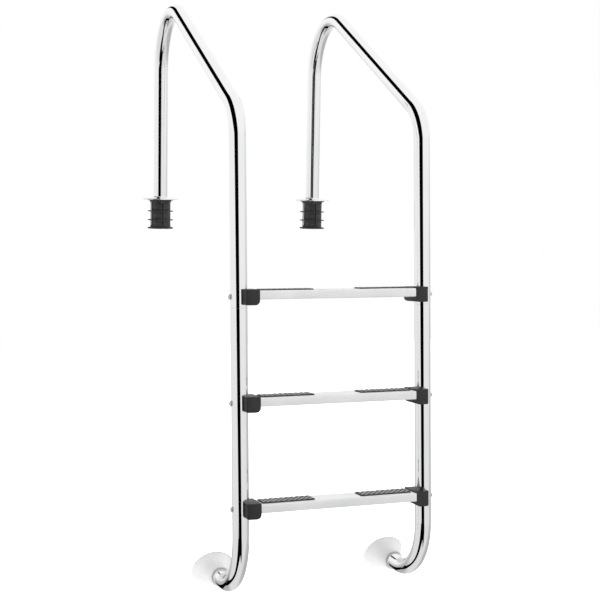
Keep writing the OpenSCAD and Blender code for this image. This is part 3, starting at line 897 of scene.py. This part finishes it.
def studio_light(tree, links, direction):
    """Brightness of the surroundings by direction: a white room, darker low down, with one black flag."""

    def dot(vector):
        node = tree.nodes.new("ShaderNodeVectorMath")
        node.operation = "DOT_PRODUCT"
        node.inputs[1].default_value = vector
        links.new(direction, node.inputs[0])
        return node.outputs["Value"]

    def smooth(value, low, high, out_low, out_high):
        node = tree.nodes.new("ShaderNodeMapRange")
        node.interpolation_type = "SMOOTHSTEP"
        ends = {"From Min": low, "From Max": high, "To Min": out_low, "To Max": out_high}
        for socket, number in ends.items():
            node.inputs[socket].default_value = number
        links.new(value, node.inputs["Value"])
        return node.outputs["Result"]

    def arithmetic(operation, a, b):
        node = tree.nodes.new("ShaderNodeMath")
        node.operation = operation
        for socket, value in zip(node.inputs, (a, b)):
            if isinstance(value, (int, float)):
                socket.default_value = value
            else:
                links.new(value, socket)
        return node.outputs[0]

    def multiply(a, b):
        return arithmetic("MULTIPLY", a, b)

    room = smooth(dot((0, 0, 1)), -0.35, 0.25, 0.80, 1.02)
    side_shade = smooth(dot((0.83, 0.22, -0.50)), 0.70, 0.95, 1.0, 0.62)
    rear_shade = smooth(dot((-0.20, 0.86, -0.46)), 0.86, 0.97, 1.0, 0.60)
    # The black flag is the wedge between two planes
    above = smooth(dot((0.616, -0.449, 0.647)), -0.275, -0.245, 0.0, 1.0)
    beside = smooth(dot((0.952, -0.112, 0.283)), -0.073, -0.043, 1.0, 0.0)
    wedge_flag = multiply(above, beside)
    # It runs on below as a band that narrows towards the back, and ends in a strip low behind the object
    depth = dot((0, 1, 0))
    height = dot((0, 0, 1))
    centre = arithmetic("ADD", smooth(depth, -1.05, -0.45, 0.22, 0.41), smooth(depth, -0.1, 0.6, 0.0, 0.12))
    offset = arithmetic("ABSOLUTE", arithmetic("ADD", dot((0.979, -0.201, -0.036)), centre), 0.0)
    width = smooth(depth, -1.1, 0.45, 0.31, 0.075)
    band = smooth(arithmetic("DIVIDE", offset, width), 0.88, 1.12, 1.0, 0.0)
    low_band = multiply(band, smooth(height, -0.26, -0.20, 1.0, 0.0))
    low_band = multiply(low_band, smooth(depth, 0.76, 0.86, 1.0, 0.0))
    strip = multiply(smooth(height, -0.55, -0.48, 0.0, 1.0), smooth(height, -0.34, -0.28, 1.0, 0.0))
    strip = multiply(strip, smooth(depth, 0.58, 0.68, 0.0, 1.0))
    across = dot((1, 0, 0))
    strip = multiply(strip, smooth(across, -0.08, 0.02, 1.0, 0.0))
    strip = multiply(strip, smooth(across, -0.44, -0.38, 0.0, 1.0))
    flag = arithmetic("MAXIMUM", wedge_flag, arithmetic("MAXIMUM", low_band, strip))
    open_part = smooth(flag, 0.0, 1.0, 1.0, 0.0)
    return multiply(multiply(multiply(room, side_shade), rear_shade), open_part)


def studio():
    scene = bpy.context.scene
    scene.view_settings.view_transform = "Standard"
    world = bpy.data.worlds.new("studio")
    scene.world = world
    world.use_nodes = True
    tree = world.node_tree
    links = tree.links
    background = tree.nodes["Background"]
    coords = tree.nodes.new("ShaderNodeTexCoord")
    level = studio_light(tree, links, coords.outputs["Generated"])
    links.new(level, background.inputs["Color"])
    white = tree.nodes.new("ShaderNodeBackground")
    white.inputs["Color"].default_value = (1, 1, 1, 1)
    path = tree.nodes.new("ShaderNodeLightPath")
    mix = tree.nodes.new("ShaderNodeMixShader")
    links.new(path.outputs["Is Camera Ray"], mix.inputs["Fac"])
    links.new(background.outputs[0], mix.inputs[1])
    links.new(white.outputs[0], mix.inputs[2])
    links.new(mix.outputs[0], tree.nodes["World Output"].inputs["Surface"])

    def lamp(name, place, target, size, power):
        data = bpy.data.lights.new(name, "AREA")
        data.size = size
        data.energy = power
        obj = bpy.data.objects.new(name, data)
        obj.location = place
        obj.rotation_euler = (Vector(target) - Vector(place)).to_track_quat("-Z", "Y").to_euler()
        obj.visible_glossy = False
        scene.collection.objects.link(obj)

    lamp("key", (-1.6, -3.2, 2.4), (0, -0.5, -0.3), 2.0, 60)
    lamp("top", (0.6, 0.2, 3.2), (0, -0.5, -0.3), 3.0, 50)

    bm = bmesh.new()
    floor_z = cad_box[0][2] - FLOOR_DROP
    half = FLOOR_SIZE / 2
    corners = ((-half, -half), (half, -half), (half, half), (-half, half))
    bm.faces.new([bm.verts.new((x, y, floor_z)) for x, y in corners])
    mesh = bpy.data.meshes.new("floor")
    bm.to_mesh(mesh)
    bm.free()
    floor = bpy.data.objects.new("floor", mesh)
    scene.collection.objects.link(floor)
    material, _, shader = new_material("floor")
    shader.inputs["Base Color"].default_value = (0.9, 0.9, 0.9, 1)
    shader.inputs["Roughness"].default_value = 0.9
    shader.inputs["Specular IOR Level"].default_value = 0.0
    shader.inputs["Emission Color"].default_value = (1, 1, 1, 1)
    shader.inputs["Emission Strength"].default_value = 0.8
    mesh.materials.append(material)
    floor.visible_glossy = False


def camera():
    yaw, pitch, roll = (math.radians(a) for a in CAMERA_ANGLES)
    forward = Vector((math.sin(yaw) * math.cos(pitch), math.cos(yaw) * math.cos(pitch), math.sin(pitch)))
    right = Vector((math.cos(yaw), -math.sin(yaw), 0))
    up = right.cross(forward)
    right, up = right * math.cos(roll) + up * math.sin(roll), up * math.cos(roll) - right * math.sin(roll)
    data = bpy.data.cameras.new("camera")
    data.lens = LENS
    data.sensor_width = SENSOR
    obj = bpy.data.objects.new("camera", data)
    axes = Matrix((right, up, -forward)).transposed().to_4x4()
    obj.matrix_world = Matrix.Translation(CAMERA_PLACE) @ axes
    bpy.context.scene.collection.objects.link(obj)
    bpy.context.scene.camera = obj


studio()
camera()
